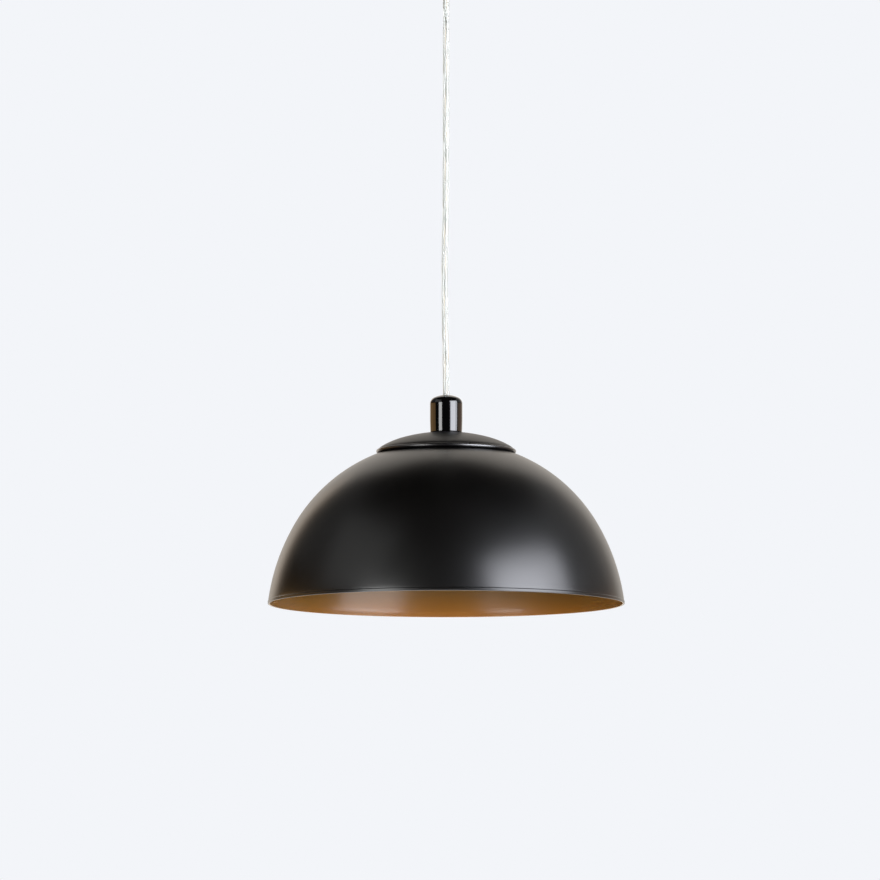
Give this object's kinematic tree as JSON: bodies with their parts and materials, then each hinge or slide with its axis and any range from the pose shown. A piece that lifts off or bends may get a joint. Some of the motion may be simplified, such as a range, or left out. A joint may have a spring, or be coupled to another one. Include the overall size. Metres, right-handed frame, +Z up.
{
  "type": "pendant ceiling light",
  "caption": "Dome pendant lamp on a clear cord: spun shade, stepped top cap, cylindrical grip, screw lampholder with bulb, and a round ceiling canopy.",
  "frame": {"origin": "centre of the face that meets the ceiling, on the canopy's bracket", "axes": "+Z up into the ceiling, the lamp hangs along -Z; +X along the bracket's strip"},
  "size_m": [0.3, 0.3, 0.57],
  "materials": {
    "black_plastic": "moulded black plastic",
    "brass": "plain pressed brass",
    "clear_pvc": "clear flexible PVC",
    "core_blue": "blue conductor insulation",
    "core_brown": "brown conductor insulation",
    "core_green": "green and yellow conductor insulation",
    "gloss_black_metal": "semi-gloss black enamel on turned steel",
    "nickel": "nickel plate",
    "opal_glass": "opal white glass",
    "porcelain": "glazed ceramic",
    "satin_black_steel": "satin black powder coat",
    "white_nylon": "natural white nylon",
    "zinc_steel": "bright zinc plate"
  },
  "bodies": {
    "ceiling_set": {"ceiling_bracket": "zinc_steel", "canopy": "satin_black_steel", "canopy_screw_left": "gloss_black_metal", "canopy_screw_right": "gloss_black_metal", "gland_body": "black_plastic", "gland_screw": "white_nylon", "gland_washer": "zinc_steel", "gland_nut": "zinc_steel", "terminal_housing": "white_nylon", "terminal_fixing_screw": "zinc_steel", "earth_tag_upper": "nickel", "earth_screw": "brass", "cord_entry": "clear_pvc", "earth_link": "core_green", "terminal_ferrule_earth": "brass", "terminal_screw_earth_supply": "zinc_steel", "terminal_screw_earth_lamp": "zinc_steel", "core_earth_upper": "core_green", "terminal_ferrule_neutral": "brass", "terminal_screw_neutral_supply": "zinc_steel", "terminal_screw_neutral_lamp": "zinc_steel", "core_neutral_upper": "core_blue", "terminal_ferrule_live": "brass", "terminal_screw_live_supply": "zinc_steel", "terminal_screw_live_lamp": "zinc_steel", "core_live_upper": "core_brown"},
    "cord_link": {"cord_link": "clear_pvc"},
    "cord": {"cord": "clear_pvc"},
    "lamp": {"shade": "satin_black_steel", "top_cap": "satin_black_steel", "grip_cover": "gloss_black_metal", "clamp_body": "black_plastic", "clamp_screw": "white_nylon", "nipple": "zinc_steel", "toothed_washer": "zinc_steel", "lock_nut": "zinc_steel", "end_nut": "zinc_steel", "holder_dome": "black_plastic", "holder_grub_screw": "zinc_steel", "holder_skirt": "black_plastic", "holder_insert": "porcelain", "screw_shell": "brass", "shell_rivet_front": "brass", "shell_rivet_back": "brass", "centre_contact": "brass", "side_contact": "brass", "holder_screw_live": "zinc_steel", "holder_screw_neutral": "zinc_steel", "earth_tag_lower": "nickel", "cord_tail": "clear_pvc", "core_live_lower": "core_brown", "core_neutral_lower": "core_blue", "core_earth_lower": "core_green"},
    "bulb_tip": {"bulb_tip": "zinc_steel"},
    "bulb": {"bulb_insulator": "gloss_black_metal", "bulb_cap": "nickel", "bulb_collar": "white_nylon", "bulb_board": "white_nylon", "bulb_globe": "opal_glass"}
  },
  "joints": [
    {"name": "swing_x", "type": "hinge", "parent": "ceiling_set", "child": "cord_link", "pos_m": [0, 0, -0.0423], "axis": [1, 0, 0], "range_deg": [-30, 30]},
    {"name": "swing_y", "type": "hinge", "parent": "cord_link", "child": "cord", "pos_m": [0, 0, -0.0513], "axis": [0, 1, 0], "range_deg": [-30, 30]},
    {"name": "cord_twist", "type": "hinge", "parent": "cord", "child": "lamp", "pos_m": [0, 0, -0.39272], "axis": [0, 0, 1], "range_deg": [-180, 180]},
    {"name": "bulb_travel", "type": "slide", "parent": "lamp", "child": "bulb_tip", "axis": [0, 0, -1], "range_m": [0, 0.01633]},
    {"name": "bulb_turn", "type": "hinge", "parent": "bulb_tip", "child": "bulb", "pos_m": [0, 0, -0.5], "axis": [0, 0, -1], "range_deg": [0, 1620]}
  ],
  "couplings": [
    {"joint": "bulb_turn", "follows": "bulb_travel", "rad_per_m": 1731.4}
  ]
}
